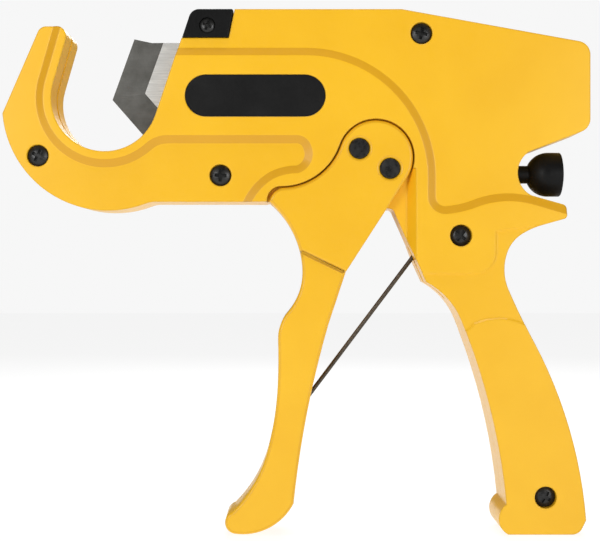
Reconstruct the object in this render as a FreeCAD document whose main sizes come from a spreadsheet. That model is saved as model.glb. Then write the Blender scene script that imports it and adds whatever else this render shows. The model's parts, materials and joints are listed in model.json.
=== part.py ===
import FreeCAD, Part
import math
import os
from FreeCAD import Rotation, Vector

# Ratchet pipe shears with a pistol grip, in millimetres.
# X runs from the hook jaw (left) to the tail (right), Z is up and Y is the thickness.
# The origin is the centre of the round pipe seat, on the plane where the two halves meet.

SIZES = [
    # overall
    ("half_thickness", 15.0, "middle plane to the raised face of a half"),
    ("jaw_radius", 23.6, "pipe seat, for pipe up to 42 mm"),
    ("hook_band", 23.0, "hook width outside the pipe seat"),
    ("floor_band", 22.2, "body below the pipe seat"),
    ("hook_top", 31.6, "height of the hook's tip"),
    ("body_top", 39.2, "height of the flat top"),
    ("grip_bottom", 192.3, "depth of the grip's foot below the seat centre"),
    # castings
    ("relief_depth", 1.5, "step from the raised face to the lower face"),
    ("relief_slope", 3.5, "width of the sloping step"),
    ("rim_width", 3.5, "raised rim round the pipe seat"),
    ("grip_step", 0.7, "shallow step round the hand area"),
    ("trigger_step", 0.8, "trigger arm below its cheeks"),
    ("web_half", 9.5, "half thickness of the thin web in the trigger's fork"),
    ("channel_half", 5.0, "half width of the carrier channel"),
    ("side_gap", 0.3, "gap between flat faces that slide"),
    ("head_gap", 0.7, "gap round the trigger's head"),
    # blade and carrier
    ("blade_thick", 2.5, "blade thickness"),
    ("blade_gap", 0.35, "blade to slot wall, each side"),
    ("bevel_width", 13.0, "ground bevel, across the edge"),
    ("edge_thick", 0.3, "thickness left at the cutting edge"),
    ("blade_top", 26.4, "top edge of the blade"),
    ("blade_drop", 2.4, "blade below the pipe seat"),
    ("cut_travel", 27.0, "blade travel forward of the drawn place"),
    ("back_travel", 25.0, "blade travel behind the drawn place"),
    ("carrier_half", 4.5, "half width of the carrier"),
    ("rack_pitch", 4.5, "tooth pitch"),
    ("rack_depth", 2.2, "tooth depth"),
    ("rack_floor", -13.2, "height of the tooth tips"),
    ("rack_height", 10.0, "tooth tips to the top of the rack bar"),
    ("rack_teeth", 17, "number of teeth"),
    # pins, screws and springs
    ("pivot_radius", 4.5, "both pins of the trigger"),
    ("run_gap", 0.05, "radial running fit"),
    ("small_pin_radius", 2.0, "pawl pins, dowels and spring pins"),
    ("screw_radius", 2.0, "housing screw"),
    ("screw_head_radius", 4.5, "housing screw head"),
    ("screw_head_height", 2.4, "housing screw head"),
    ("counterbore_radius", 4.85, "counterbore round a screw head"),
    ("counterbore_floor", 10.9, "middle plane to the counterbore's floor"),
    ("wire_radius", 0.95, "trigger return spring wire"),
    ("coil_radius", 10.4, "mean radius of the return spring's coil"),
    ("coil_boss", 8.4, "boss that carries the coil"),
    ("rod_radius", 2.5, "release rod"),
    ("stem_radius", 4.0, "stem of the knob"),
    ("knob_radius", 9.9, "rim of the knob"),
    # inset badge
    ("badge_length", 62.0, "stadium length"),
    ("badge_height", 18.6, "stadium height"),
    ("badge_recess", 1.3, "recess depth"),
    ("badge_thick", 1.1, "badge thickness"),
    ("badge_gap", 0.15, "badge to recess wall"),
    # cap and fastener depths
    ("tongue_half", 6.0, "half thickness of the tongues under the cap"),
    ("cap_gap", 0.2, "cap to body"),
    ("cap_round", 0.7, "rounding of the cap's edges"),
    ("cap_screw_radius", 1.75, "cap screw"),
    ("cap_head_radius", 3.4, "cap screw head"),
    ("cap_head_height", 2.0, "cap screw head"),
    ("pin_reach", 9.0, "depth of the pin holes in each half"),
    ("screw_reach", 11.0, "depth of the screw holes in the back half"),
    ("holding_pawl_half", 3.0, "half width of the holding pawl"),
]

doc = FreeCAD.newDocument("pipe_cutter")
sheet = doc.addObject("Spreadsheet::Sheet", "Sizes")
for row, (alias, value, note) in enumerate(SIZES, 1):
    sheet.set("A%d" % row, alias)
    sheet.set("B%d" % row, str(value))
    sheet.setAlias("B%d" % row, alias)
    sheet.set("C%d" % row, note)
doc.recompute()


def size(alias):
    """The number that the sheet holds under a name."""
    return float(sheet.get(alias))


# ---------------------------------------------------------------- outlines

def polar(centre, radius, degrees):
    """A point at an angle on a circle, as (x, z)."""
    a = math.radians(degrees)
    return (centre[0] + radius * math.cos(a), centre[1] + radius * math.sin(a))


class Outline:
    """A closed outline of straight runs and arcs, with rounded corners between straight runs."""

    def __init__(self, start, rounding=0.0):
        self.corners = [(start, None, rounding)]
        self.heading = 0.0

    def to(self, point, rounding=0.0):
        """A straight run to a corner."""
        last = self.corners[-1][0]
        self.heading = math.atan2(point[1] - last[1], point[0] - last[0])
        self.corners.append((point, None, rounding))
        return self

    def ahead(self, distance, rounding=0.0):
        """A straight run that goes on the way the outline points."""
        x, z = self.corners[-1][0]
        end = (x + distance * math.cos(self.heading), z + distance * math.sin(self.heading))
        return self.to(end, rounding)

    def arc(self, middle, end):
        """An arc through a middle point."""
        start = self.corners[-1][0]
        chord = math.atan2(end[1] - start[1], end[0] - start[0])
        first = math.atan2(middle[1] - start[1], middle[0] - start[0])
        second = math.atan2(end[1] - middle[1], end[0] - middle[0])
        self.heading = chord + math.remainder(second - first, math.tau)
        self.corners.append((end, middle, 0.0))
        return self

    def sweep(self, end):
        """An arc that starts the way the outline points."""
        start = self.corners[-1][0]
        length = math.dist(start, end)
        chord = math.atan2(end[1] - start[1], end[0] - start[0])
        bend = math.remainder(chord - self.heading, math.tau)
        rise = -length / 2 * math.tan(bend / 2)
        middle = ((start[0] + end[0]) / 2 - rise * math.sin(chord),
                  (start[1] + end[1]) / 2 + rise * math.cos(chord))
        self.corners.append((end, middle, 0.0))
        self.heading = chord + bend
        return self

    def rounded(self, index):
        """Where the run into a corner stops, the arc's middle, and where the next run starts."""
        count = len(self.corners)
        here, _, radius = self.corners[index]
        before = self.corners[index - 1][0]
        after = self.corners[(index + 1) % count][0]
        corner = Vector(here[0], here[1], 0)
        if radius == 0:
            return corner, None, corner
        come = (corner - Vector(before[0], before[1], 0)).normalize()
        leave = (Vector(after[0], after[1], 0) - corner).normalize()
        turn = come.getAngle(leave)
        cut = radius * math.tan(turn / 2)
        inward = (leave - come).normalize()
        centre = corner + inward * (radius / math.cos(turn / 2))
        return corner - come * cut, centre - inward * radius, corner + leave * cut

    def edges(self):
        count = len(self.corners)
        bends = [self.rounded(i) for i in range(count)]
        made = []
        for i in range(count):
            start = bends[i - 1][2]
            stop, bend, leave = bends[i]
            middle = self.corners[i][1]
            if middle is not None:
                made.append(Part.Arc(start, Vector(middle[0], middle[1], 0), stop))
            elif (stop - start).Length > 1e-6:
                made.append(Part.LineSegment(start, stop))
            if bend is not None:
                made.append(Part.Arc(stop, bend, leave))
        return made


class Ring:
    """A full circle."""

    def __init__(self, centre, radius):
        self.centre = centre
        self.radius = radius

    def edges(self):
        middle = Vector(self.centre[0], self.centre[1], 0)
        return [Part.Circle(middle, Vector(0, 0, 1), self.radius)]


def box_outline(left, bottom, right, top, rounding=0.0):
    """A rectangle with equal corners."""
    outline = Outline((left, bottom), rounding).to((right, bottom), rounding)
    return outline.to((right, top), rounding).to((left, top), rounding)


def stadium(centre, length, height):
    """A bar with half-round ends."""
    half, radius = (length - height) / 2, height / 2
    x, z = centre
    outline = Outline((x - half, z + radius)).arc((x - half - radius, z), (x - half, z - radius))
    outline.to((x + half, z - radius))
    return outline.arc((x + half + radius, z), (x + half, z + radius))


# ---------------------------------------------------------------- features

def new_body(label):
    made = doc.addObject("PartDesign::Body", label)
    made.Label = label
    return made


def origin_plane(body, role):
    return [f for f in body.Origin.OriginFeatures if f.Role == role][0]


def side_sketch(body, name, outlines, depth):
    """A sketch parallel to the X-Z plane, at a depth towards -Y that the sheet gives."""
    made = body.newObject("Sketcher::SketchObject", name)
    made.AttachmentSupport = (origin_plane(body, "XZ_Plane"), [""])
    made.MapMode = "FlatFace"
    made.setExpression(".AttachmentOffset.Base.z", depth)
    for outline in outlines:
        made.addGeometry(outline.edges(), False)
    return made


def pad(body, name, outlines, inner, outer, side=1):
    """Material between two depths; side 1 builds towards -Y and side -1 towards +Y."""
    drawn = side_sketch(body, name + "_sketch", outlines, "(%s) * %d" % (inner, side))
    made = body.newObject("PartDesign::Pad", name)
    made.Profile = drawn
    made.setExpression("Length", "(%s) - (%s)" % (outer, inner))
    made.Reversed = side < 0
    made.Refine = False
    drawn.Visibility = False
    return made


def cut(body, name, outlines, inner, outer, side=1, taper=None):
    """Takes material away between two depths, measured as for a pad."""
    doc.recompute()
    before = body.Tip.Shape.Volume
    drawn = side_sketch(body, name + "_sketch", outlines, "(%s) * %d" % (outer, side))
    made = body.newObject("PartDesign::Pocket", name)
    made.Profile = drawn
    made.setExpression("Length", "(%s) - (%s)" % (outer, inner))
    made.Reversed = side < 0
    made.Refine = False
    if taper is not None:
        made.setExpression("TaperAngle", taper)
    doc.recompute()
    if made.Shape.isNull() or made.Shape.Volume >= before - 1e-3:
        raise ValueError("%s cuts nothing from %s: %s" % (name, body.Label, made.getStatusString()))
    return made


def round_edges(body, name, radius, chosen):
    """Rounds the edges of the tip that a test picks."""
    doc.recompute()
    base = body.Tip
    names = ["Edge%d" % (i + 1) for i, edge in enumerate(base.Shape.Edges) if chosen(edge)]
    made = body.newObject("PartDesign::Fillet", name)
    made.Base = (base, names)
    made.setExpression("Radius", radius)
    doc.recompute()
    return made


def on_depth(edge, depth):
    """Whether an edge lies flat at a distance from the middle plane."""
    box = edge.BoundBox
    flat = abs(box.YMax - box.YMin) < 1e-4
    return flat and abs(abs(box.YMax) - depth) < 1e-4


# ---------------------------------------------------------------- places

SEAT = (0.0, 0.0)
JAW = size("jaw_radius")
HALF = size("half_thickness")
FLOOR = -(JAW + size("floor_band"))
GRIP_FOOT = -size("grip_bottom")
TOP = size("body_top")
HOOK_LEAN = 16.0        # lean of the hook's inner edge from the vertical
FRONT_LEAN = 18.5       # lean of the body's front edge
HOOK_CENTRE = (1.2, -3.1)
HOOK_OUTER = JAW + size("hook_band")

PIVOT = (125.7, -31.1)
LINK = (112.2, -22.3)
HEAD = (119.5, -26.2)   # centre of the trigger's round head
HEAD_RADIUS = 16.3
NECK = (77.9, -12.0)    # centre of the hollow curve in front of the head
NECK_RADIUS = math.dist(HEAD, NECK) - HEAD_RADIUS
TRIGGER_SWING = 30.0
COIL = (156.9, -60.7)   # the return spring turns on this screw's boss
KNOB_AXIS = -32.9
CAP_LEDGE = 26.5        # ledge that carries the cap
CAP_BACK = 54.6
CAP_CORNER = 4.6        # rounding of the cap's front corner

PAWL_PIVOT = (150.0, -22.0)
ROD_BORE = size("rod_radius") + size("run_gap")
CLIP_RADIUS = 4.5
SPRING_WALL = 168.0     # shoulder that the knob's spring pushes from
CLIP_WALL = 179.0       # wall that the clip stops against

LOW_SCREWS = [(-29.7, -25.4), (50.9, -34.1), (139.6, 28.6)]
HIGH_SCREWS = [COIL, (194.1, -176.0)]
DOWELS = [(-34.5, -2.0), (196.0, 14.0), (190.0, -150.0)]
CAP_SCREW = (45.1, 31.9)
BADGE = (66.3, 0.9)

BLADE_HEEL_BACK = 60.0
BLADE_TANG_LOW = -10.0
BLADE_BACK = 78.0
CARRIER_FRONT = 63.0
CARRIER_BACK = 80.0
CARRIER_TOP = 20.0
END_GAP = 1.0           # carrier and blade to the ends of their channels
FORWARD = size("cut_travel")
BACKWARD = size("back_travel")
RACK_FLOOR = size("rack_floor")
RACK_TOP = RACK_FLOOR + size("rack_height")
RACK_BACK = 150.0
SPRING_POST = (200.0, RACK_FLOOR + size("rack_height") / 2)
CHANNEL_BACK = 206.0

BLADE_PINS = [(70.5, 12.0), (70.5, -3.0)]
RACK_START = 69.5
TOOTH_LAND = 0.8
CARRIER_PIN = (147.0, SPRING_POST[1])
CARRIER_PIN_RADIUS = 1.5
PAWL_LUG = (PIVOT[0] - 5.0, PIVOT[1] + 12.5)
LUG_RADIUS = 3.3
PAWL_TIP = (PAWL_LUG[0] - 15.4, PAWL_LUG[1] + 3.8)
HOLD_TIP = (PAWL_PIVOT[0] + 10.0, PAWL_PIVOT[1] + 7.6)
PAWL_TAIL = (PAWL_PIVOT[0], PAWL_PIVOT[1] - 12.5)
LEG_TIP = (84.5, -139.7)


def along_hook(height, distance):
    """A point beside the hook's straight inner edge, at a height and a distance outside it."""
    base = polar(SEAT, JAW + distance, 180 - HOOK_LEAN)
    rise = height - base[1]
    return (base[0] + rise * math.tan(math.radians(HOOK_LEAN)), height)


def along_front(height):
    """A point on the body's straight front edge."""
    base = polar(SEAT, JAW, -FRONT_LEAN)
    return (base[0] + (height - base[1]) * math.tan(math.radians(FRONT_LEAN)), height)


def blend_to_floor(centre, radius, height, rounding):
    """Ends of the hollow curve between a circle's underside and a level line, and its middle."""
    across = math.sqrt((radius + rounding) ** 2 - (centre[1] - height + rounding) ** 2)
    middle = (centre[0] + across, height - rounding)
    angle = math.degrees(math.atan2(middle[1] - centre[1], across))
    return polar(centre, radius, angle), polar(middle, rounding, (angle + 270) / 2), (middle[0], height)


def tangent_point(point, centre, radius):
    """Where the right-hand tangent from a point meets a circle."""
    reach = math.dist(point, centre)
    to_point = math.degrees(math.atan2(point[1] - centre[1], point[0] - centre[0]))
    return polar(centre, radius, to_point + math.degrees(math.acos(radius / reach)))


# ---------------------------------------------------------------- housing

def housing_outline():
    """The half's edge, from the hook's tip down the back of the hook and round the whole body."""
    hook_back = polar(HOOK_CENTRE, HOOK_OUTER, 184.5)
    blend_start, blend_middle, blend_end = blend_to_floor(HOOK_CENTRE, HOOK_OUTER, FLOOR, 12.0)
    blend_angle = math.degrees(math.atan2(blend_start[1] - HOOK_CENTRE[1],
                                          blend_start[0] - HOOK_CENTRE[0]))
    edge = Outline(along_hook(size("hook_top"), 0), 4.5)
    edge.to((-28.6, size("hook_top")), 4.0).to(hook_back)
    edge.arc(polar(HOOK_CENTRE, HOOK_OUTER, (184.5 + 360 + blend_angle) / 2), blend_start)
    edge.arc(blend_middle, blend_end)
    # under the trigger's fork and down the web
    edge.to((117.0, FLOOR), 6.0).to((123.0, FLOOR - 2.8), 2.0).to((127.2, FLOOR - 2.8), 2.5)
    edge.to((141.6, -81.2))
    # front of the grip, its toe and its foot
    edge.arc((150.7, -88.1), (157.0, -98.0)).sweep((176.9, -179.0))
    edge.arc((173.8, -187.6), (177.6, GRIP_FOOT)).to((208.8, GRIP_FOOT), 5.0)
    # back of the grip, up to the horn
    edge.to((211.9, -186.0)).arc((201.3, -135.6), (189.0, -107.6)).sweep((177.9, -84.6))
    edge.sweep((177.6, -67.5)).sweep((184.0, -59.9)).sweep((193.0, -56.0)).ahead(11.0, 1.8)
    edge.to((203.5, -47.3), 2.2).to((188.0, -42.9))
    edge.arc((182.1, -32.4), (187.0, -23.7))
    # tail and top
    edge.to((214.1, -13.3), 6.0).to((214.1, 24.2), 6.0).to((130.9, TOP))
    edge.to((CAP_BACK + 2.6, TOP)).to((CAP_BACK, CAP_LEDGE)).to(along_front(CAP_LEDGE))
    edge.to(polar(SEAT, JAW, -FRONT_LEAN))
    edge.arc(polar(SEAT, JAW, 270 - (FRONT_LEAN - HOOK_LEAN) / 2), polar(SEAT, JAW, 180 - HOOK_LEAN))
    return edge


def hook_relief():
    """Lower face of the hook and the front underside, up to its raised border."""
    rim = JAW + size("rim_width")
    line = -16.5
    start, middle, end = blend_to_floor(SEAT, rim, line, 14.0)
    angle = math.degrees(math.atan2(start[1], start[0]))
    face = Outline((-70.0, 45.0)).to((-70.0, -70.0)).to((62.0, -70.0)).to((64.5, -46.5))
    face.arc((68.4, -40.6), (74.2, -35.8)).arc((79.5, -33.9), (85.2, -33.3))
    face.arc((91.4, -26.6), (91.0, -21.5)).arc((88.6, -17.9), (84.0, line))
    face.to(end).arc(middle, start)
    face.arc(polar(SEAT, rim, (180 - HOOK_LEAN + 360 + angle) / 2), polar(SEAT, rim, 180 - HOOK_LEAN))
    return face.to(along_hook(45.0, size("rim_width")))


def tail_relief():
    """Lower face along the top, round the back of the trigger and over the tail."""
    line, corner, sweep = 18.6, (88.7, -35.0), 53.6
    face = Outline((15.0, 60.0)).to((15.0, line)).to((corner[0], line))
    face.arc(polar(corner, sweep, 45), (corner[0] + sweep, corner[1]))
    face.to((142.3, -43.6)).arc((144.9, -49.3), (150.2, -51.3))
    face.arc((157.0, -50.3), (165.2, -47.7)).arc((177.0, -45.6), (189.0, -47.2))
    face.to((226.0, -58.0)).to((226.0, 60.0))
    return face


def grip_relief():
    """Shallow step between the raised root and the grip's own panel."""
    face = Outline((130.0, -77.2)).to((163.0, -77.2)).arc((169.5, -74.4), (172.0, -68.0))
    face.to((172.0, -58.5)).to((190.0, -56.0)).to((200.0, -95.0)).to((193.5, -107.2))
    face.arc((180.0, -98.4), (163.0, -99.8)).to((159.0, -103.5)).to((130.0, -103.5))
    return face


def fork_recess():
    """Where the trigger's cheeks lie beside the web, open at the bottom."""
    gap = size("head_gap")
    toward = math.degrees(math.atan2(HEAD[1] - NECK[1], HEAD[0] - NECK[0]))
    head, neck = HEAD_RADIUS + gap, NECK_RADIUS - gap
    meet = polar(NECK, neck, toward)
    space = Outline((71.4, -110.0)).to((71.4, -45.0))
    space.arc((73.0, -41.0), polar(NECK, neck, -90))
    space.arc(polar(NECK, neck, (toward - 90) / 2), meet)
    space.arc(polar(HEAD, head, 80), polar(HEAD, head, -14))
    space.to((133.6, -38.0)).to((133.6, -62.5)).to((141.2, -83.0)).to((141.2, -110.0))
    return space


def blade_outline(shift, grow):
    """The blade's side view, moved along X and grown outward all round."""
    top, low = size("blade_top"), -(JAW + size("blade_drop"))
    apex = (1.4, 0.8)
    slope = 13.9 / 15.9
    heel = (apex[0] + (apex[1] - low) * slope, low)
    points = [(11.3 - grow, 28.2 + grow), (apex[0] - 1.3 * grow, apex[1]),
              (heel[0] - grow, low - grow), (BLADE_HEEL_BACK + grow, low - grow),
              (BLADE_HEEL_BACK + grow, BLADE_TANG_LOW - grow), (BLADE_BACK + grow, BLADE_TANG_LOW - grow),
              (BLADE_BACK + grow, top + grow), (19.3, top + grow)]
    outline = Outline((points[0][0] + shift, points[0][1]))
    for x, z in points[1:]:
        outline.to((x + shift, z))
    return outline


def blade_slot():
    """The narrow slot that the blade runs in, through the hook and the body."""
    roof = 29.6
    low = -(JAW + size("blade_drop")) - END_GAP
    reach = JAW + 8.4
    low_angle = 180 + math.degrees(math.asin(-low / reach))
    slot = Outline(along_hook(60.0, 8.4)).to(polar(SEAT, reach, 180 - HOOK_LEAN))
    slot.arc(polar(SEAT, reach, (180 - HOOK_LEAN + low_angle) / 2), polar(SEAT, reach, low_angle))
    slot.to((BLADE_HEEL_BACK + BACKWARD + END_GAP, low))
    slot.to((BLADE_HEEL_BACK + BACKWARD + END_GAP, RACK_FLOOR - 1.0))
    slot.to((BLADE_BACK + BACKWARD + END_GAP, RACK_FLOOR - 1.0))
    slot.to((BLADE_BACK + BACKWARD + END_GAP, roof)).to((26.0, roof)).to((26.0, 60.0))
    return slot


def carrier_channel():
    """The channel for the carrier's block, its rack bar and the blade return spring."""
    front = CARRIER_FRONT - FORWARD - END_GAP
    block_back = CARRIER_BACK + BACKWARD + END_GAP
    channel = Outline((front, RACK_FLOOR - 1.0)).to((CHANNEL_BACK, RACK_FLOOR - 1.0))
    channel.to((CHANNEL_BACK, RACK_TOP + 1.0)).to((block_back, RACK_TOP + 1.0))
    return channel.to((block_back, CARRIER_TOP + 1.0)).to((front, CARRIER_TOP + 1.0))


def wire_slot():
    """Where the return spring's leg swings out of the grip's root."""
    slot = Outline((147.0, -50.0)).to((131.0, -70.0)).to((131.0, -95.0)).to((151.6, -95.0))
    return slot.to((149.0, -60.0))


def fork_slope(body, label, wall):
    """Slopes the recess's back wall, from an X-Y section run down the grip's root."""
    drawn = body.newObject("Sketcher::SketchObject", label + "_slope_sketch")
    drawn.AttachmentSupport = (origin_plane(body, "XY_Plane"), [""])
    drawn.MapMode = "FlatFace"
    drawn.AttachmentOffset = FreeCAD.Placement(Vector(0, 0, -31.0), Rotation())
    drawn.addGeometry(wall.edges(), False)
    made = body.newObject("PartDesign::Pocket", label + "_slope")
    made.Profile = drawn
    made.Length = 60.0
    doc.recompute()


def inner_spaces(body, label, side):
    """The slot, channels and pockets that hold the mechanism."""
    slot_half = "Sizes.blade_thick / 2 + Sizes.blade_gap"
    cut(body, label + "_blade_slot", [blade_slot()], "-0.01", slot_half, side)
    cut(body, label + "_channel", [carrier_channel()], "-0.01", "Sizes.channel_half", side)
    arm = box_outline(99.5, -41.0, 137.0, RACK_FLOOR, 3.0)
    cut(body, label + "_arm_pocket", [arm], "-0.01", "Sizes.channel_half", side)
    pawl = box_outline(140.5, -39.0, 167.0, RACK_FLOOR, 2.0)
    cut(body, label + "_pawl_pocket", [pawl], "-0.01", "Sizes.channel_half", side)
    coil = Ring(COIL, size("coil_radius") + size("wire_radius") + 1.6)
    boss = Ring(COIL, size("coil_boss"))
    depth = "0.6 + 1.5 * Sizes.wire_radius" if side > 0 else "0.6 + 5 * Sizes.wire_radius"
    cut(body, label + "_coil_pocket", [coil, boss], "-0.01", depth, side)
    cut(body, label + "_wire_slot", [wire_slot()], "-0.01", "Sizes.wire_radius + 0.8", side)


def bored(body, name, places, radius, inner, outer, side=1):
    """Round holes along Y."""
    return cut(body, name, [Ring(place, radius) for place in places], inner, outer, side)


def release_bore(body, label):
    """The stepped bore for the release rod, its spring and the knob's stem."""
    drawn = body.newObject("Sketcher::SketchObject", label + "_release_sketch")
    drawn.AttachmentSupport = (origin_plane(body, "XZ_Plane"), [""])
    drawn.MapMode = "FlatFace"
    rod, clip, stem = ROD_BORE, CLIP_RADIUS + 0.15, size("stem_radius") + 2 * size("run_gap")
    steps = Outline((166.0, KNOB_AXIS)).to((190.0, KNOB_AXIS)).to((190.0, KNOB_AXIS + stem))
    steps.to((CLIP_WALL, KNOB_AXIS + stem)).to((CLIP_WALL, KNOB_AXIS + clip))
    steps.to((SPRING_WALL, KNOB_AXIS + clip)).to((SPRING_WALL, KNOB_AXIS + rod))
    steps.to((166.0, KNOB_AXIS + rod))
    drawn.addGeometry(steps.edges(), False)
    axis = Part.LineSegment(Vector(166.0, KNOB_AXIS, 0), Vector(190.0, KNOB_AXIS, 0))
    drawn.addGeometry([axis], True)
    made = body.newObject("PartDesign::Groove", label + "_release_bore")
    made.Profile = drawn
    made.ReferenceAxis = (drawn, ["Axis0"])
    made.Angle = 360.0
    made.Refine = False
    doc.recompute()


def link_slot():
    """The curved slot in the web that the link pin swings in."""
    reach = math.dist(LINK, PIVOT)
    start = math.degrees(math.atan2(LINK[1] - PIVOT[1], LINK[0] - PIVOT[0]))
    end = start + TRIGGER_SWING
    wide = size("pivot_radius") + 0.5
    slot = Outline(polar(PIVOT, reach + wide, start))
    slot.arc(polar(PIVOT, reach + wide, (start + end) / 2), polar(PIVOT, reach + wide, end))
    slot.arc(polar(polar(PIVOT, reach, end), wide, end + 90), polar(PIVOT, reach - wide, end))
    slot.arc(polar(PIVOT, reach - wide, (start + end) / 2), polar(PIVOT, reach - wide, start))
    return slot.arc(polar(LINK, wide, start - 90), polar(PIVOT, reach + wide, start))


def housing_half(label, side):
    """One cast half: side 1 is the front (-Y) half with the screw heads, side -1 the back one."""
    body = new_body(label)
    low = "Sizes.half_thickness - Sizes.relief_depth"
    high = "Sizes.half_thickness + 0.01"
    slope = "-atan(Sizes.relief_slope / Sizes.relief_depth)"
    slot_half = "Sizes.blade_thick / 2 + Sizes.blade_gap"
    pad(body, label + "_casting", [housing_outline()], "0", "Sizes.half_thickness", side)
    pad(body, label + "_tongue", [cap_tongue()], slot_half, "Sizes.tongue_half", side)
    # the lower faces, each with a sloping step
    cut(body, label + "_hook_face", [hook_relief()], low, high, side, slope)
    cut(body, label + "_tail_face", [tail_relief()], low, high, side, slope)
    step = "Sizes.half_thickness - Sizes.grip_step"
    cut(body, label + "_grip_face", [grip_relief()], step, high, side, "-45 deg")
    # the fork's recess beside the web, with a sloping back wall
    cut(body, label + "_fork_recess", [fork_recess()], "Sizes.web_half", high, side)
    web, face = size("web_half") * -side, HALF * -side
    beyond = (HALF + 1.0) * -side
    fork_slope(body, label, Outline((133.5, web)).to((133.5, beyond)).to((137.8, beyond)).to((137.3, face)))
    badge = stadium(BADGE, size("badge_length"), size("badge_height"))
    cut(body, label + "_badge_recess", [badge], "Sizes.half_thickness - Sizes.badge_recess", high, side)
    inner_spaces(body, label, side)
    # bores
    run = size("pivot_radius") + size("run_gap")
    bored(body, label + "_pivot_bore", [PIVOT], run, "0", "Sizes.web_half + 0.01", side)
    cut(body, label + "_link_slot", [link_slot()], "0", "Sizes.web_half + 0.01", side)
    pins = [PAWL_PIVOT, SPRING_POST] + DOWELS
    bored(body, label + "_pin_holes", pins, size("small_pin_radius"), "-0.01", "Sizes.pin_reach", side)
    screws = LOW_SCREWS + HIGH_SCREWS
    if side > 0:
        clear = size("screw_radius") + 0.25
        bored(body, label + "_screw_holes", screws, clear, "-0.01", "Sizes.counterbore_floor + 0.01", side)
        wide = size("counterbore_radius")
        bored(body, label + "_counterbores", screws, wide, "Sizes.counterbore_floor", high, side)
    else:
        bored(body, label + "_screw_holes", screws, size("screw_radius"), "-0.01", "Sizes.screw_reach", side)
    bored(body, label + "_cap_hole", [CAP_SCREW], size("cap_screw_radius"), "0", "Sizes.tongue_half + 0.01",
          side)
    release_bore(body, label)
    return body


# ---------------------------------------------------------------- cap and badges

def cap_tongue():
    """The tongue on each half that the cap straddles."""
    return Outline((38.5, CAP_LEDGE - 2.0)).to((52.5, CAP_LEDGE - 2.0)).to((54.0, 36.6)).to((42.0, 36.6))


def cap_outline():
    """The cap's side view."""
    gap = size("cap_gap")
    start = along_front(CAP_LEDGE + gap)
    shape = Outline((start[0] + gap, start[1])).to((CAP_BACK - gap, CAP_LEDGE + gap))
    shape.to((CAP_BACK + 2.3 - gap, TOP), 0.8).to((along_front(TOP)[0] + gap, TOP), CAP_CORNER)
    return shape


def slot_cap():
    """The cap over the front of the blade slot, hollow over the tongues."""
    body = new_body("slot_cap")
    outer = "Sizes.half_thickness - 0.6"
    pad(body, "slot_cap_block", [cap_outline()], "-(%s)" % outer, outer)
    round_edges(body, "slot_cap_rim", "Sizes.cap_round",
                lambda edge: on_depth(edge, HALF - 0.6) and edge.CenterOfMass.z > CAP_LEDGE + 1.0)
    hollow = Outline((37.9, CAP_LEDGE - 5.0)).to((53.0, CAP_LEDGE - 5.0)).to((54.8, 37.2)).to((41.6, 37.2))
    inner = "Sizes.tongue_half + Sizes.side_gap"
    cut(body, "slot_cap_hollow", [hollow], "-(%s)" % inner, inner)
    groove = box_outline(20.0, CAP_LEDGE - 5.0, 60.0, 29.8)
    half = "Sizes.blade_thick / 2 + Sizes.blade_gap"
    cut(body, "slot_cap_groove", [groove], "-(%s)" % half, half)
    bored(body, "slot_cap_hole", [CAP_SCREW], size("cap_screw_radius"), "-(%s) - 0.01" % outer, outer)
    head = size("cap_head_radius") + 0.15
    floor = "Sizes.half_thickness - 0.6 - Sizes.cap_head_height"
    bored(body, "slot_cap_counterbore", [CAP_SCREW], head, floor, "Sizes.half_thickness")
    return body


def badge(label, side):
    """A blank inset badge with half-round ends."""
    body = new_body(label)
    gap = 2 * size("badge_gap")
    shape = stadium(BADGE, size("badge_length") - gap, size("badge_height") - gap)
    floor = "Sizes.half_thickness - Sizes.badge_recess"
    pad(body, label + "_plate", [shape], floor, floor + " + Sizes.badge_thick", side)
    return body


# ---------------------------------------------------------------- turned parts

def turned_part(label, profile, place, along="y"):
    """A part turned from a half-profile of (distance along, radius) corners."""
    body = new_body(label)
    drawn = body.newObject("Sketcher::SketchObject", label + "_profile")
    drawn.AttachmentSupport = (origin_plane(body, "XY_Plane"), [""])
    drawn.MapMode = "FlatFace"
    drawn.addGeometry(profile.edges(), False)
    drawn.addGeometry([Part.LineSegment(Vector(-50, 0, 0), Vector(50, 0, 0))], True)
    made = body.newObject("PartDesign::Revolution", label + "_turned")
    made.Profile = drawn
    made.ReferenceAxis = (drawn, ["Axis0"])
    made.Angle = 360.0
    made.Refine = False
    doc.recompute()
    turn = Rotation(Vector(0, 0, 1), 90) if along == "y" else Rotation()
    body.Placement = FreeCAD.Placement(place, turn)
    return body


def plain_pin(label, centre, radius, half_length, chamfer):
    """A straight pin along Y with chamfered ends."""
    profile = Outline((-half_length, 0)).to((half_length, 0)).to((half_length, radius - chamfer))
    profile.to((half_length - chamfer, radius)).to((chamfer - half_length, radius))
    profile.to((-half_length, radius - chamfer))
    return turned_part(label, profile, Vector(centre[0], 0, centre[1]))


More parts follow.
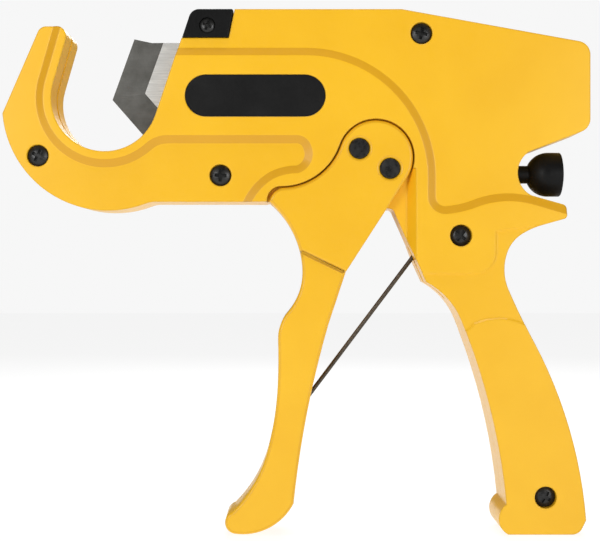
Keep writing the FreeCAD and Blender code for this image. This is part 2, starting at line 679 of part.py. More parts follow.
def screw_shape(radius, head_radius, head_height, seat, reach):
    """A pan-head screw along Y with a cross recess: the head sits at -seat and the tip at reach."""
    top = -seat - head_height
    dome = head_height * 0.45
    points = [Vector(top, 0, 0), Vector(reach, 0, 0), Vector(reach, radius - 0.5, 0),
              Vector(reach - 0.5, radius, 0), Vector(-seat, radius, 0), Vector(-seat, head_radius, 0),
              Vector(top + dome, head_radius, 0)]
    edges = [Part.LineSegment(points[i], points[i + 1]).toShape() for i in range(len(points) - 1)]
    shoulder = Vector(top + dome * 0.25, head_radius * 0.62, 0)
    edges.append(Part.Arc(points[-1], shoulder, points[0]).toShape())
    turned_solid = Part.Face(Part.Wire(edges)).revolve(Vector(0, 0, 0), Vector(1, 0, 0), 360)
    arm, wide, deep = head_radius * 0.6, head_radius * 0.17, head_height * 0.7
    for length, width in ((arm, wide), (wide, arm)):
        bit = Part.makeBox(deep + 1.0, 2 * length, 2 * width, Vector(top - 1.0, -length, -width))
        turned_solid = turned_solid.cut(bit)
    middle = Part.makeCone(head_radius * 0.3, head_radius * 0.1, deep, Vector(top, 0, 0), Vector(1, 0, 0))
    turned_solid = turned_solid.cut(middle)
    turned_solid.rotate(Vector(0, 0, 0), Vector(0, 0, 1), 90)
    return turned_solid


def screws(label, places, shape, turns):
    """Equal screws in one node, each with its recess turned a little differently."""
    solids = []
    for (x, z), degrees in zip(places, turns):
        one = shape.copy()
        one.rotate(Vector(0, 0, 0), Vector(0, 1, 0), degrees)
        one.translate(Vector(x, 0, z))
        solids.append(one)
    made = doc.addObject("Part::Feature", label)
    made.Shape = Part.makeCompound(solids) if len(solids) > 1 else solids[0]
    return made


# ---------------------------------------------------------------- blade and carrier

def bevel_wedge(start, end, side):
    """What grinding takes off one face of the blade along a cutting edge."""
    along = Vector(end[0] - start[0], 0, end[1] - start[1]).normalize()
    inward = Vector(along.z, 0, -along.x)
    thin, full, width = size("edge_thick") / 2, size("blade_thick") / 2, size("bevel_width")
    slope = (full - thin) / width
    corners = []
    out_front = thin - 3.0 * slope
    for across, out in ((-3.0, out_front), (width, full), (width, full + 2.0), (-3.0, full + 2.0)):
        point = Vector(start[0], 0, start[1]) - along * 60.0 + inward * across
        point.y = out * side
        corners.append(point)
    face = Part.Face(Part.makePolygon(corners + [corners[0]]))
    return face.extrude(along * 160.0)


def blade():
    """The cutting blade, ground from both faces along its two front edges."""
    outline = blade_outline(0.0, 0.0)
    wire = Part.Wire([piece.toShape() for piece in outline.edges()])
    wire.rotate(Vector(0, 0, 0), Vector(1, 0, 0), 90)
    half = size("blade_thick") / 2
    wire.translate(Vector(0, half, 0))
    shape = Part.Face(wire).extrude(Vector(0, -2 * half, 0))
    nose, apex, heel = [corner[0] for corner in outline.corners[:3]]
    for side in (1, -1):
        shape = shape.cut(bevel_wedge(heel, apex, side)).cut(bevel_wedge(apex, nose, side))
    for x, z in BLADE_PINS:
        top = Vector(x, 2 * half, z)
        shape = shape.cut(Part.makeCylinder(size("small_pin_radius"), 4 * half, top, Vector(0, -1, 0)))
    made = doc.addObject("Part::Feature", "blade")
    made.Shape = shape
    return made


def rack_outline():
    """The carrier's side view: the block that holds the blade and the toothed bar behind it."""
    pitch, depth = size("rack_pitch"), size("rack_depth")
    first = RACK_START
    shape = Outline((CARRIER_FRONT, RACK_FLOOR)).to((first, RACK_FLOOR))
    for tooth in range(int(size("rack_teeth"))):
        start = first + tooth * pitch
        shape.to((start, RACK_FLOOR + depth)).to((start + pitch - TOOTH_LAND, RACK_FLOOR))
        shape.to((start + pitch, RACK_FLOOR))
    shape.to((RACK_BACK, RACK_FLOOR)).to((RACK_BACK, RACK_TOP))
    shape.to((CARRIER_BACK, RACK_TOP)).to((CARRIER_BACK, CARRIER_TOP))
    return shape.to((CARRIER_FRONT, CARRIER_TOP))


def blade_carrier():
    """The sliding carrier with its rack."""
    body = new_body("blade_carrier")
    pad(body, "carrier_bar", [rack_outline()], "-Sizes.carrier_half", "Sizes.carrier_half")
    slot = box_outline(CARRIER_FRONT - 2.0, RACK_FLOOR - 2.0, BLADE_BACK + 0.3, CARRIER_TOP + 2.0)
    half = "Sizes.blade_thick / 2 + 0.03"
    cut(body, "carrier_blade_slot", [slot], "-(%s)" % half, half)
    both = "Sizes.carrier_half + 0.01"
    bored(body, "carrier_blade_holes", BLADE_PINS, size("small_pin_radius"), "-(%s)" % both, both)
    loop = box_outline(CARRIER_PIN[0] - 4.5, RACK_FLOOR - 2.0, RACK_BACK + 2.0, RACK_TOP + 2.0)
    cut(body, "carrier_spring_slot", [loop], "-1.5", "1.5")
    bored(body, "carrier_pin_hole", [CARRIER_PIN], CARRIER_PIN_RADIUS, "-(%s)" % both, both)
    return body


def ring(centre, mean, wire):
    """One wire ring round an axis along Y."""
    return Part.makeTorus(mean, wire, Vector(centre[0], 0, centre[1]), Vector(0, 1, 0))


def coil_along_x(start, stop, height, mean, wire, turns):
    """An open wire coil along X on the middle plane."""
    helix = Part.makeHelix((stop - start) / turns, stop - start, mean)
    profile = Part.Wire(Part.makeCircle(wire, Vector(mean, 0, 0), Vector(0, 1, 0)))
    solid = Part.Wire(helix).makePipeShell([profile], True, True)
    solid.rotate(Vector(0, 0, 0), Vector(0, 1, 0), 90)
    solid.translate(Vector(start, 0, height))
    return solid


def feature(label, shape):
    made = doc.addObject("Part::Feature", label)
    made.Shape = shape
    return made


def blade_return_spring():
    """The extension spring that pulls the carrier back, hooked on two pins."""
    wire, height = 0.5, SPRING_POST[1]
    loop = CARRIER_PIN_RADIUS + wire + 0.02
    post = size("small_pin_radius") + wire + 0.02
    front, back = CARRIER_PIN[0] + loop, SPRING_POST[0] - post
    mean = 2.8
    coil = coil_along_x(front + 4.0, back - 4.0, height, mean, wire, 22)
    shape = ring(CARRIER_PIN, loop, wire).fuse(ring(SPRING_POST, post, wire))
    shape = shape.fuse(coil)
    for start, stop in ((front, front + 4.0), (back, back - 4.0)):
        a, b = Vector(start, 0, height), Vector(stop, 0, height - mean)
        shape = shape.fuse(Part.makeCylinder(wire, (b - a).Length, a, b - a))
        shape = shape.fuse(Part.makeSphere(1.05 * wire, a)).fuse(Part.makeSphere(1.1 * wire, b))
    return feature("blade_return_spring", shape)


# ---------------------------------------------------------------- trigger and ratchet

def trigger_outline():
    """The trigger's side view, from its head down the front edge and up the back."""
    toward = math.degrees(math.atan2(HEAD[1] - NECK[1], HEAD[0] - NECK[0]))
    corner = (106.2, -76.8)
    meet = tangent_point(corner, HEAD, HEAD_RADIUS)
    shape = Outline(polar(NECK, NECK_RADIUS, toward))
    shape.arc(polar(NECK, NECK_RADIUS, (toward - 90) / 2), polar(NECK, NECK_RADIUS, -90))
    shape.arc((74.3, -41.9), (72.4, -45.6)).arc((83.4, -60.3), (87.1, -75.9))
    shape.sweep((81.0, -94.2)).arc((77.4, -100.0), (76.3, -106.7)).sweep((76.2, -126.0))
    shape.sweep((71.6, -156.2)).sweep((56.3, -182.6)).arc((52.9, -187.7), (56.8, -192.3))
    shape.arc((71.4, -190.3), (83.2, -179.0)).arc((88.9, -140.2), (98.6, -99.8)).to(corner)
    shape.to(meet)
    finish = math.degrees(math.atan2(meet[1] - HEAD[1], meet[0] - HEAD[0]))
    middle = (finish + toward + 180) / 2
    return shape.arc(polar(HEAD, HEAD_RADIUS, middle), polar(NECK, NECK_RADIUS, toward))


def lever():
    """The cast trigger: a fork over the web above, and an arm with a channel for the spring's leg."""
    body = new_body("lever")
    face = "Sizes.half_thickness - 0.2"
    pad(body, "lever_casting", [trigger_outline()], "-(%s)" % face, face)
    reach = 44.0
    fork_floor = FLOOR - size("head_gap")
    drop = math.degrees(math.asin((fork_floor - PIVOT[1]) / reach))
    fork = Outline((60.0, fork_floor)).to(polar(PIVOT, reach, 180 - drop))
    fork.arc(polar(PIVOT, reach, (180 - drop + 310) / 2), polar(PIVOT, reach, 310))
    fork.to((165.0, 10.0)).to((60.0, 10.0))
    inner = "Sizes.web_half + Sizes.side_gap"
    cut(body, "lever_fork", [fork], "-(%s)" % inner, inner)
    arm = Outline((60.0, -54.7)).to((112.5, -79.8)).to((112.5, -210.0)).to((40.0, -210.0)).to((40.0, -54.7))
    step = "Sizes.half_thickness - 0.2 - Sizes.trigger_step"
    over = "Sizes.half_thickness - 0.19"
    for side, name in ((1, "front"), (-1, "rear")):
        cut(body, "lever_arm_" + name, [arm], step, over, side, "-45 deg")
    channel = Outline((82.5, -126.0)).to((80.5, -150.0)).to((78.0, -170.0)).to((100.0, -170.0))
    channel.to((105.0, -122.0)).to((88.0, -119.0))
    wide = "Sizes.wire_radius + 1.3"
    cut(body, "lever_channel", [channel], "-(%s)" % wide, wide)
    bored(body, "lever_pin_holes", [PIVOT, LINK], size("pivot_radius"), "-(%s)" % over, over)
    return body


def strap(first, first_radius, second, second_radius):
    """The outline of a bar with round ends of two sizes."""
    way = math.degrees(math.atan2(second[1] - first[1], second[0] - first[0]))
    lean = math.degrees(math.acos((first_radius - second_radius) / math.dist(first, second)))
    shape = Outline(polar(first, first_radius, way + lean))
    shape.arc(polar(first, first_radius, way + 180), polar(first, first_radius, way - lean))
    shape.to(polar(second, second_radius, way - lean))
    shape.arc(polar(second, second_radius, way), polar(second, second_radius, way + lean))
    return shape


def drive_arm():
    """The steel arm inside the body that the two trigger pins turn, with a lug for the drive pawl."""
    body = new_body("drive_arm")
    inner, outer = "Sizes.side_gap / 2", "Sizes.channel_half - Sizes.side_gap"
    hub = size("pivot_radius") + 3.0
    pad(body, "drive_arm_bar", [strap(PIVOT, hub, LINK, hub)], inner, outer)
    pad(body, "drive_arm_lug", [strap(PIVOT, hub, PAWL_LUG, LUG_RADIUS)], inner, outer)
    bored(body, "drive_arm_pins", [PIVOT, LINK], size("pivot_radius"), "0", outer + " + 0.01")
    bored(body, "drive_arm_pawl_hole", [PAWL_LUG], size("small_pin_radius"), "0", outer + " + 0.01")
    return body


def drive_pawl():
    """The pawl that pushes the rack, pinned to the drive arm's lug."""
    body = new_body("drive_pawl")
    inner, outer = "Sizes.side_gap / 2", "Sizes.channel_half - Sizes.side_gap"
    pad(body, "drive_pawl_hub", [Ring(PAWL_LUG, LUG_RADIUS)], inner, outer, -1)
    pad(body, "drive_pawl_bar", [strap(PAWL_LUG, 0.95, PAWL_TIP, 0.8)], inner, outer, -1)
    fit = size("small_pin_radius") + size("run_gap")
    bored(body, "drive_pawl_hole", [PAWL_LUG], fit, "0", outer + " + 0.01", -1)
    return body


def holding_pawl():
    """The pawl that holds the rack, with a tail that the release rod pushes."""
    body = new_body("holding_pawl")
    half = "Sizes.holding_pawl_half"
    pad(body, "holding_pawl_hub", [Ring(PAWL_PIVOT, 4.4)], "-" + half, half)
    pad(body, "holding_pawl_hook", [strap(PAWL_PIVOT, 2.6, HOLD_TIP, 0.8)], "-" + half, half)
    pad(body, "holding_pawl_tail", [strap(PAWL_PIVOT, 2.5, PAWL_TAIL, 2.5)], "-" + half, half)
    fit = size("small_pin_radius") + size("run_gap")
    bored(body, "holding_pawl_hole", [PAWL_PIVOT], fit, "-(%s) - 0.01" % half, half + " + 0.01")
    return body


def lever_return_spring():
    """The torsion spring: two turns round a screw boss, and the long leg that opens the trigger."""
    wire, mean = size("wire_radius"), size("coil_radius")
    way = math.degrees(math.atan2(LEG_TIP[1] - COIL[1], LEG_TIP[0] - COIL[0]))
    leave = way - math.degrees(math.acos(mean / math.dist(LEG_TIP, COIL)))
    foot = polar(COIL, mean, leave)
    tip = Vector(LEG_TIP[0], 0, LEG_TIP[1])
    base = Vector(foot[0], 0, foot[1])
    shape = Part.makeCylinder(wire, (tip - base).Length, base, tip - base)
    shape = shape.fuse(Part.makeSphere(wire, tip))
    for turn in range(2):
        one = ring(COIL, mean, wire)
        one.translate(Vector(0, turn * 1.85 * wire, 0))
        shape = shape.fuse(one)
    return feature("lever_return_spring", shape)


# ---------------------------------------------------------------- release knob

def knob_place(x):
    return Vector(x, 0, KNOB_AXIS)


def release_knob():
    """The bell-shaped push knob with its stem and a blind bore for the rod."""
    stem, rim, rod = size("stem_radius"), size("knob_radius"), size("rod_radius")
    profile = Outline((CLIP_WALL + 0.6, rod)).to((195.0, rod)).to((195.0, 0.0)).to((204.3, 0.0))
    profile.arc((204.0, 5.0), (203.1, rim - 0.5)).arc((202.8, rim - 0.1), (202.3, rim))
    profile.to((197.6, rim)).sweep((188.9, stem + 0.8)).to((188.9, stem)).to((CLIP_WALL + 0.6, stem))
    return turned_part("release_knob", profile, knob_place(0), "x")


def release_rod():
    """The rod from the knob to the holding pawl's tail, with a groove for its clip."""
    rod = size("rod_radius")
    start = PAWL_TAIL[0] + 2.5 + 0.4
    groove = CLIP_WALL - 1.0
    profile = Outline((start, 0.0)).to((194.9, 0.0)).to((194.9, rod)).to((groove, rod))
    profile.to((groove, rod - 0.6)).to((groove - 0.9, rod - 0.6)).to((groove - 0.9, rod))
    profile.to((start + 3.0, rod)).to((start, 0.9))
    return turned_part("release_rod", profile, knob_place(0), "x")


def rod_clip():
    """The open retaining clip in the rod's groove."""
    groove = CLIP_WALL - 1.0
    disc = Part.makeCylinder(CLIP_RADIUS, 0.8, Vector(groove - 0.85, 0, KNOB_AXIS), Vector(1, 0, 0))
    inner = size("rod_radius") - 0.6
    disc = disc.cut(Part.makeCylinder(inner, 3.0, Vector(groove - 2.0, 0, KNOB_AXIS), Vector(1, 0, 0)))
    mouth = Part.makeBox(3.0, 2.0 * inner * 0.8, 10.0, Vector(groove - 2.0, -inner * 0.8, KNOB_AXIS - 10.0))
    return feature("rod_clip", disc.cut(mouth))


def knob_spring():
    """The compression spring that pushes the knob out, between the wall and the clip."""
    wire = 0.4
    mean = size("rod_radius") + wire + 0.5
    start, stop = SPRING_WALL + wire + 0.05, CLIP_WALL - 1.85 - wire - 0.05
    return feature("knob_spring", coil_along_x(start, stop, KNOB_AXIS, mean, wire, 4))


# ---------------------------------------------------------------- the whole tool

housing_half("housing_front", 1)
housing_half("housing_rear", -1)
slot_cap()
badge("badge_front", 1)
badge("badge_rear", -1)

big_screw = screw_shape(size("screw_radius"), size("screw_head_radius"), size("screw_head_height"),
                        size("counterbore_floor"), size("screw_reach") - 1.0)
screws("housing_screws", LOW_SCREWS + HIGH_SCREWS, big_screw, [28.0, 4.0, 12.0, 38.0, 33.0])
cap_seat = HALF - 0.6 - size("cap_head_height")
small_screw = screw_shape(size("cap_screw_radius"), size("cap_head_radius"), size("cap_head_height"),
                          cap_seat, HALF - 1.6)
screws("cap_screw", [CAP_SCREW], small_screw, [22.0])
for number, place in enumerate(BLADE_PINS, 1):
    plain_pin("blade_pin_%d" % number, place, size("small_pin_radius"), size("carrier_half") - 0.2, 0.3)

blade()
blade_carrier()
plain_pin("carrier_pin", CARRIER_PIN, CARRIER_PIN_RADIUS, size("carrier_half") - 0.2, 0.3)
blade_return_spring()
plain_pin("anchor_pin", SPRING_POST, size("small_pin_radius"), size("pin_reach") - 0.5, 0.4)
for number, place in enumerate(DOWELS, 1):
    plain_pin("housing_dowel_%d" % number, place, size("small_pin_radius"), size("pin_reach") - 0.5, 0.4)

lever()
plain_pin("pivot_pin", PIVOT, size("pivot_radius"), HALF - 0.2, 0.5)
plain_pin("link_pin", LINK, size("pivot_radius"), HALF - 0.2, 0.5)
drive_arm()
drive_pawl()
plain_pin("drive_pawl_pin", PAWL_LUG, size("small_pin_radius"), size("channel_half") - 0.35, 0.3)
lever_return_spring()

holding_pawl()
plain_pin("holding_pawl_pin", PAWL_PIVOT, size("small_pin_radius"), size("pin_reach") - 0.5, 0.4)
release_knob()
release_rod()
rod_clip()
knob_spring()

doc.recompute()
nodes = [item for item in doc.Objects
         if item.isDerivedFrom("PartDesign::Body")
         or (item.TypeId == "Part::Feature" and item.getParentGeoFeatureGroup() is None)]
for item in doc.Objects:
    if "Invalid" in item.State or "Error" in item.State:
        raise ValueError("%s failed: %s" % (item.Label, item.State))
for node in nodes:
    if node.Shape.isNull() or not node.Shape.isValid():
        raise ValueError("%s has no valid shape" % node.Label)

os.makedirs("parts", exist_ok=True)
for node in nodes:
    node.Shape.exportStep("parts/%s.step" % node.Label)
    print("%-22s %8.0f mm3, %d solid(s)" % (node.Label, node.Shape.Volume, len(node.Shape.Solids)))
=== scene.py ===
import bpy
import json
import math
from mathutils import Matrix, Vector


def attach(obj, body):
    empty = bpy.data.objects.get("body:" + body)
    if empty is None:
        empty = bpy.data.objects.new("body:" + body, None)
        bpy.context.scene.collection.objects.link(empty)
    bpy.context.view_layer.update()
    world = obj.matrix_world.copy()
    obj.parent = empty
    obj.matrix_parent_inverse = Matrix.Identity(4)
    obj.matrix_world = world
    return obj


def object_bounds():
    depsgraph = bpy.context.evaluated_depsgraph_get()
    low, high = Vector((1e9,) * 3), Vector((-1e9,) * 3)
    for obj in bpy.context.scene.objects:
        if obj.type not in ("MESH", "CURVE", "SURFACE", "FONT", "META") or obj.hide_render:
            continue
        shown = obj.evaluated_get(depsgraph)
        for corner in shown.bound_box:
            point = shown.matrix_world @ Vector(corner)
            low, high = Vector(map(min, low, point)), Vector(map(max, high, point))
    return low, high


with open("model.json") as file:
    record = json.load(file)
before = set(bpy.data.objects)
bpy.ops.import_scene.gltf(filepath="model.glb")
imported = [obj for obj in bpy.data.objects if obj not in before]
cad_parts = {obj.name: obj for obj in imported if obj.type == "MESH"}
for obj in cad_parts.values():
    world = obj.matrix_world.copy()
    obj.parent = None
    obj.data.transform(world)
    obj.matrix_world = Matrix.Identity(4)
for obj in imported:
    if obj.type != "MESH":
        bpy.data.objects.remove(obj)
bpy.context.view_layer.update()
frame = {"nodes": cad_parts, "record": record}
nodes = frame["nodes"]

# Lengths are in metres, powers in watts and angles in degrees.
SHADED_EDGE = 0.0012        # radius that the paint's shading gives to sharp edges
TRIGGER_EDGE = 0.0013       # width of the trigger's rounded edges, cut in its geometry
ROUNDING_STEPS = 3
SHARP_EDGE = 35.0           # edges that turn by more than this are rounded
FLAT_FACE = 1.0             # faces that turn by less than this are joined before rounding
WELD_DISTANCE = 1e-6

FLOOR_SIZE = 6.0
FLOOR_GAP = 0.0004          # keeps the lowest piece just off the floor
FLOOR_GLOW = 0.86
AMBIENT = 0.16              # strength of the world's light on the pieces
BACKDROP = (0.93, 0.93, 0.93, 1)    # what the camera sees behind them
WHITE = (1.0, 1.0, 1.0, 1)

SOFTBOXES = {               # place, width and height, power
    "key": ((-0.42, -0.75, 0.12), (0.30, 0.40), 2.9),
    "fill": ((0.62, -0.75, 0.05), (0.35, 0.35), 2.4),
    "top": ((0.10, -0.05, 0.75), (0.7, 0.3), 4.0),
    "back": ((0.15, 0.80, 0.45), (0.5, 0.4), 5.0),
}

CAMERA_PLACE = (0.086, -0.592, -0.0761)
CAMERA_TURN = 90.0          # about X, so that it looks level along Y
SENSOR_WIDTH, LENS = 36.0, 78.7     # millimetres


# ---------------------------------------------------------------- material helpers

def new_material(name):
    """A material, its node tree, its shader and the piece's own coordinates in metres."""
    made = bpy.data.materials.new(name)
    made.use_nodes = True
    tree = made.node_tree
    place = tree.nodes.new("ShaderNodeTexCoord")
    return made, tree, tree.nodes["Principled BSDF"], place.outputs["Object"]


def noise(tree, place, scale, detail, rough=0.55, stretch=(1, 1, 1), turn=(0, 0, 0)):
    """Noise whose scale is in cycles per metre, stretched along an axis where asked."""
    mapping = tree.nodes.new("ShaderNodeMapping")
    mapping.inputs["Scale"].default_value = stretch
    mapping.inputs["Rotation"].default_value = [math.radians(a) for a in turn]
    tree.links.new(place, mapping.inputs["Vector"])
    made = tree.nodes.new("ShaderNodeTexNoise")
    made.inputs["Scale"].default_value = scale
    made.inputs["Detail"].default_value = detail
    made.inputs["Roughness"].default_value = rough
    tree.links.new(mapping.outputs["Vector"], made.inputs["Vector"])
    return made.outputs["Fac"]


def ramp(tree, value, low, high, start=0.3, stop=0.7):
    """Maps a noise value to a colour between two colours."""
    made = tree.nodes.new("ShaderNodeValToRGB")
    ends = made.color_ramp.elements
    ends[0].position, ends[0].color = start, (*low, 1)
    ends[1].position, ends[1].color = stop, (*high, 1)
    tree.links.new(value, made.inputs["Fac"])
    return made.outputs["Color"]


def spread(tree, value, low, high, start=0.35, stop=0.65):
    """Maps a value between start and stop to a number between low and high."""
    made = tree.nodes.new("ShaderNodeMapRange")
    made.inputs["From Min"].default_value = start
    made.inputs["From Max"].default_value = stop
    made.inputs["To Min"].default_value = low
    made.inputs["To Max"].default_value = high
    tree.links.new(value, made.inputs["Value"])
    return made.outputs["Result"]


def bump(tree, shader, height, strength, distance, base=None):
    """Surface relief from a height value, on top of a base normal where one is given."""
    made = tree.nodes.new("ShaderNodeBump")
    made.inputs["Strength"].default_value = strength
    made.inputs["Distance"].default_value = distance
    tree.links.new(height, made.inputs["Height"])
    if base is not None:
        tree.links.new(base, made.inputs["Normal"])
    tree.links.new(made.outputs["Normal"], shader.inputs["Normal"])


def mix(tree, factor, first, second):
    """The first colour where the factor is 0, the second where it is 1."""
    made = tree.nodes.new("ShaderNodeMix")
    made.data_type = "RGBA"
    tree.links.new(factor, made.inputs["Factor"])
    tree.links.new(first, made.inputs["A"])
    tree.links.new(second, made.inputs["B"])
    return made.outputs["Result"]


def thickness_facing(tree):
    """How squarely a surface faces along the tool's thickness, from 0 to 1.

    Every hinge turns about this axis, so a pose does not change it."""
    surface = tree.nodes.new("ShaderNodeNewGeometry")
    split = tree.nodes.new("ShaderNodeSeparateXYZ")
    tree.links.new(surface.outputs["True Normal"], split.inputs["Vector"])
    either_side = tree.nodes.new("ShaderNodeMath")
    either_side.operation = "ABSOLUTE"
    tree.links.new(split.outputs["Y"], either_side.inputs[0])
    return either_side.outputs["Value"]


def band(tree, value, rise, full, fall, end):
    """1 between full and fall, fading to 0 at rise and at end."""
    up = spread(tree, value, 0.0, 1.0, rise, full)
    down = spread(tree, value, 1.0, 0.0, fall, end)
    both = tree.nodes.new("ShaderNodeMath")
    both.operation = "MULTIPLY"
    tree.links.new(up, both.inputs[0])
    tree.links.new(down, both.inputs[1])
    return both.outputs["Value"]


# ---------------------------------------------------------------- materials

def powder_coat():
    """Semi-gloss yellow powder coat: fine orange peel, faint clouds, and a darker copy of the
    yellow painted on the slopes as painted shade.
    """
    made, tree, shader, place = new_material("yellow_powder_coat")
    clouds = noise(tree, place, scale=28.0, detail=3.0)
    fine = noise(tree, place, scale=650.0, detail=2.0)
    level = ramp(tree, clouds, (0.86, 0.465, 0.010), (0.90, 0.505, 0.014))
    # painted shade: the sloping faces get a darker copy of the yellow, standing in for the
    # shade they fall into
    painted_slope_shade = ramp(tree, clouds, (0.66, 0.325, 0.006), (0.70, 0.355, 0.008))
    slope_shade_mask = band(tree, thickness_facing(tree), rise=0.70, full=0.90, fall=0.94, end=0.985)
    tree.links.new(mix(tree, slope_shade_mask, level, painted_slope_shade), shader.inputs["Base Color"])
    tree.links.new(spread(tree, fine, low=0.30, high=0.40), shader.inputs["Roughness"])
    shader.inputs["Specular IOR Level"].default_value = 0.35
    shader.inputs["Coat Weight"].default_value = 0.2
    shader.inputs["Coat Roughness"].default_value = 0.16
    edge = tree.nodes.new("ShaderNodeBevel")
    edge.samples = 6
    edge.inputs["Radius"].default_value = SHADED_EDGE
    bump(tree, shader, fine, strength=0.10, distance=0.0002, base=edge.outputs["Normal"])
    return made


def black_plastic(name, tone, rough, grain):
    """Moulded black plastic with a spark-eroded grain."""
    made, tree, shader, place = new_material(name)
    pebble = noise(tree, place, scale=grain, detail=3.0, rough=0.6)
    clouds = noise(tree, place, scale=60.0, detail=3.0)
    dark, light = [(tone * share,) * 3 for share in (0.8, 1.3)]
    tree.links.new(ramp(tree, clouds, dark, light), shader.inputs["Base Color"])
    tree.links.new(spread(tree, pebble, low=rough - 0.06, high=rough + 0.08),
                   shader.inputs["Roughness"])
    shader.inputs["Specular IOR Level"].default_value = 0.12
    bump(tree, shader, pebble, strength=0.35, distance=0.0002)
    return made


def ground_steel():
    """Blade steel: bright flats with long fine grinding marks, and a ground bevel whose much
    darker colour is painted shade.
    """
    made, tree, shader, place = new_material("blade_steel")
    scratch = noise(tree, place, scale=1.0, detail=6.0, rough=0.7,
                    stretch=(90.0, 90.0, 2600.0), turn=(0.0, 48.0, 0.0))
    cross = noise(tree, place, scale=130.0, detail=4.0, rough=0.6)
    flat = ramp(tree, scratch, (0.50, 0.50, 0.48), (0.74, 0.74, 0.72))
    # painted shade: the ground bevel gets a far darker steel colour than the flats, standing
    # in for its darker reflection; the noise in it is real grinding
    painted_bevel_shade = ramp(tree, cross, (0.060, 0.059, 0.053), (0.095, 0.093, 0.086))
    squareness = spread(tree, thickness_facing(tree), 0.0, 1.0, start=0.9972, stop=0.9990)
    tree.links.new(mix(tree, squareness, painted_bevel_shade, flat), shader.inputs["Base Color"])
    tree.links.new(spread(tree, scratch, low=0.32, high=0.5), shader.inputs["Roughness"])
    shader.inputs["Metallic"].default_value = 0.85
    bump(tree, shader, scratch, strength=0.12, distance=0.0001)
    return made


def black_oxide():
    """Blackened steel for screws and pins, a little uneven in tone and gloss."""
    made, tree, shader, place = new_material("black_oxide_steel")
    spots = noise(tree, place, scale=420.0, detail=5.0, rough=0.65)
    tone = ramp(tree, spots, (0.006, 0.006, 0.006), (0.020, 0.0195, 0.018),
                start=0.35, stop=0.75)
    tree.links.new(tone, shader.inputs["Base Color"])
    tree.links.new(spread(tree, spots, low=0.24, high=0.4), shader.inputs["Roughness"])
    shader.inputs["Specular IOR Level"].default_value = 0.4
    bump(tree, shader, spots, strength=0.08, distance=0.0001)
    return made


def spring_wire():
    """Dark spring wire with a finely uneven tone."""
    made, tree, shader, place = new_material("spring_wire")
    drawn = noise(tree, place, scale=900.0, detail=4.0)
    tone = ramp(tree, drawn, (0.05, 0.04, 0.03), (0.12, 0.10, 0.075))
    tree.links.new(tone, shader.inputs["Base Color"])
    tree.links.new(spread(tree, drawn, low=0.32, high=0.48), shader.inputs["Roughness"])
    shader.inputs["Metallic"].default_value = 0.8
    bump(tree, shader, drawn, strength=0.1, distance=0.0001)
    return made


def machined_steel():
    """Plain machined steel for the inner pieces, with fine tool marks."""
    made, tree, shader, place = new_material("machined_steel")
    lines = noise(tree, place, scale=1.0, detail=5.0, rough=0.6,
                  stretch=(200.0, 1800.0, 200.0))
    tone = ramp(tree, lines, (0.32, 0.32, 0.31), (0.52, 0.52, 0.50))
    tree.links.new(tone, shader.inputs["Base Color"])
    tree.links.new(spread(tree, lines, low=0.28, high=0.42), shader.inputs["Roughness"])
    shader.inputs["Metallic"].default_value = 0.95
    bump(tree, shader, lines, strength=0.1, distance=0.0001)
    return made


def pale_floor():
    """A nearly white floor that glows, so that the tool's shadow stays faint."""
    made, tree, shader, place = new_material("pale_floor")
    fibre = noise(tree, place, scale=220.0, detail=3.0)
    tone = ramp(tree, fibre, (0.16, 0.16, 0.158), (0.20, 0.20, 0.198))
    tree.links.new(tone, shader.inputs["Base Color"])
    shader.inputs["Roughness"].default_value = 0.8
    shader.inputs["Emission Color"].default_value = WHITE
    shader.inputs["Emission Strength"].default_value = FLOOR_GLOW
    return made


LOOKS = {
    "body_paint": powder_coat(),
    "black_plastic": black_plastic("black_plastic", tone=0.006, rough=0.42, grain=900.0),
    "badge_plastic": black_plastic("badge_plastic", tone=0.010, rough=0.36, grain=1400.0),
    "blade_steel": ground_steel(),
    "black_steel": black_oxide(),
    "spring_steel": spring_wire(),
    "machined_steel": machined_steel(),
}

for part in frame["record"]["subparts"]:
    piece = nodes[part["node"]]
    if not piece.material_slots:
        piece.data.materials.append(None)
    for slot in piece.material_slots:
        slot.material = LOOKS[part["material_slot"]]


# ---------------------------------------------------------------- rounded trigger edges

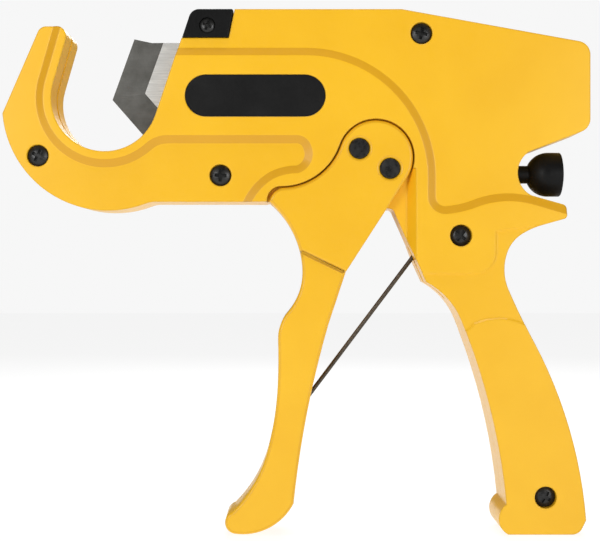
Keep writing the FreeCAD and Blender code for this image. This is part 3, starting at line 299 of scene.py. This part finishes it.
def soften(node, body, width):
    """Rounds a casting's sharp edges with modifiers and leaves its mesh as it is."""
    piece = nodes[node]
    weld = piece.modifiers.new("weld", "WELD")
    weld.merge_threshold = WELD_DISTANCE
    flat = piece.modifiers.new("flat", "DECIMATE")
    flat.decimate_type = "DISSOLVE"
    flat.angle_limit = math.radians(FLAT_FACE)
    rounding = piece.modifiers.new("rounding", "BEVEL")
    rounding.width = width
    rounding.segments = ROUNDING_STEPS
    rounding.limit_method = "ANGLE"
    rounding.angle_limit = math.radians(SHARP_EDGE)
    rounding.use_clamp_overlap = False
    rounding.harden_normals = True
    # corners that the rounding pushes out of the casting come back to its face
    guard = bpy.data.objects.new(node + "_guard", piece.data)
    bpy.context.scene.collection.objects.link(guard)
    guard.hide_render = True
    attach(guard, body)
    inside = piece.modifiers.new("inside", "SHRINKWRAP")
    inside.target = guard
    inside.wrap_method = "NEAREST_SURFACEPOINT"
    inside.wrap_mode = "INSIDE"


# the housing halves keep sharp meshes, and only their paint's shading softens their edges
soften("lever", "trigger", TRIGGER_EDGE)


# ---------------------------------------------------------------- floor, light and camera

low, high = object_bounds()
centre = (low + high) / 2

bpy.ops.mesh.primitive_plane_add(size=FLOOR_SIZE,
                                 location=(centre.x, 0.0, low.z - FLOOR_GAP))
floor = bpy.context.object
floor.name = "floor"
floor.data.materials.append(pale_floor())

world = bpy.data.worlds.new("studio")
world.use_nodes = True
sky = world.node_tree
ambient = sky.nodes["Background"]
ambient.inputs["Color"].default_value = WHITE
ambient.inputs["Strength"].default_value = AMBIENT
backdrop = sky.nodes.new("ShaderNodeBackground")
backdrop.inputs["Color"].default_value = BACKDROP
seen = sky.nodes.new("ShaderNodeLightPath")
choice = sky.nodes.new("ShaderNodeMixShader")
sky.links.new(seen.outputs["Is Camera Ray"], choice.inputs["Fac"])
sky.links.new(ambient.outputs["Background"], choice.inputs[1])
sky.links.new(backdrop.outputs["Background"], choice.inputs[2])
sky.links.new(choice.outputs["Shader"], sky.nodes["World Output"].inputs["Surface"])
bpy.context.scene.world = world
bpy.context.scene.view_settings.view_transform = "Standard"

for name, (place, size, power) in SOFTBOXES.items():
    lamp = bpy.data.lights.new(name, "AREA")
    lamp.shape = "RECTANGLE"
    lamp.size, lamp.size_y = size
    lamp.energy = power
    softbox = bpy.data.objects.new(name, lamp)
    softbox.location = place
    towards = centre - Vector(place)
    softbox.rotation_euler = towards.to_track_quat("-Z", "Y").to_euler()
    bpy.context.scene.collection.objects.link(softbox)

camera_data = bpy.data.cameras.new("camera")
camera_data.sensor_width = SENSOR_WIDTH
camera_data.lens = LENS
camera = bpy.data.objects.new("camera", camera_data)
camera.location = CAMERA_PLACE
camera.rotation_euler = (math.radians(CAMERA_TURN), 0.0, 0.0)
bpy.context.scene.collection.objects.link(camera)
bpy.context.scene.camera = camera
